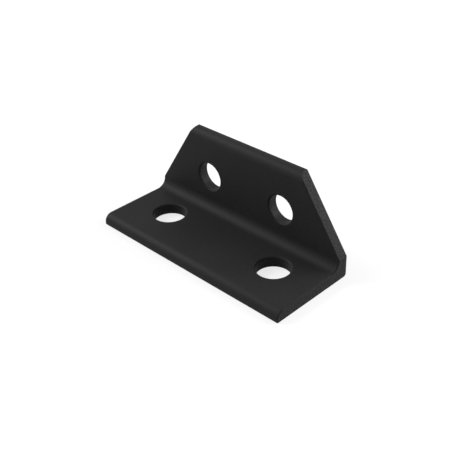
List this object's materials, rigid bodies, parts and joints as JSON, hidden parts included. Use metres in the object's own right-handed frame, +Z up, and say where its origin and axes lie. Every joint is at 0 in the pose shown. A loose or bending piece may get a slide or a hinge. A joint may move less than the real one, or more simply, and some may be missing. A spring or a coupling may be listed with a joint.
{
  "type": "inside corner bracket",
  "caption": "Black L-shaped inside corner bracket for slotted framing, with sloped ends on the upright leg and a wider bolt spacing in the base leg than in the upright.",
  "frame": {"origin": "on the outer face of the base leg, under the middle of the bracket's box", "axes": "+X along the bracket's length, +Y out of the upright's outer face, +Z up along the upright"},
  "size_m": [0.0636, 0.0254, 0.0254],
  "materials": {
    "black_coat": "black satin coat with a fine grain"
  },
  "bodies": {
    "root": {"bracket": "black_coat"}
  },
  "joints": []
}
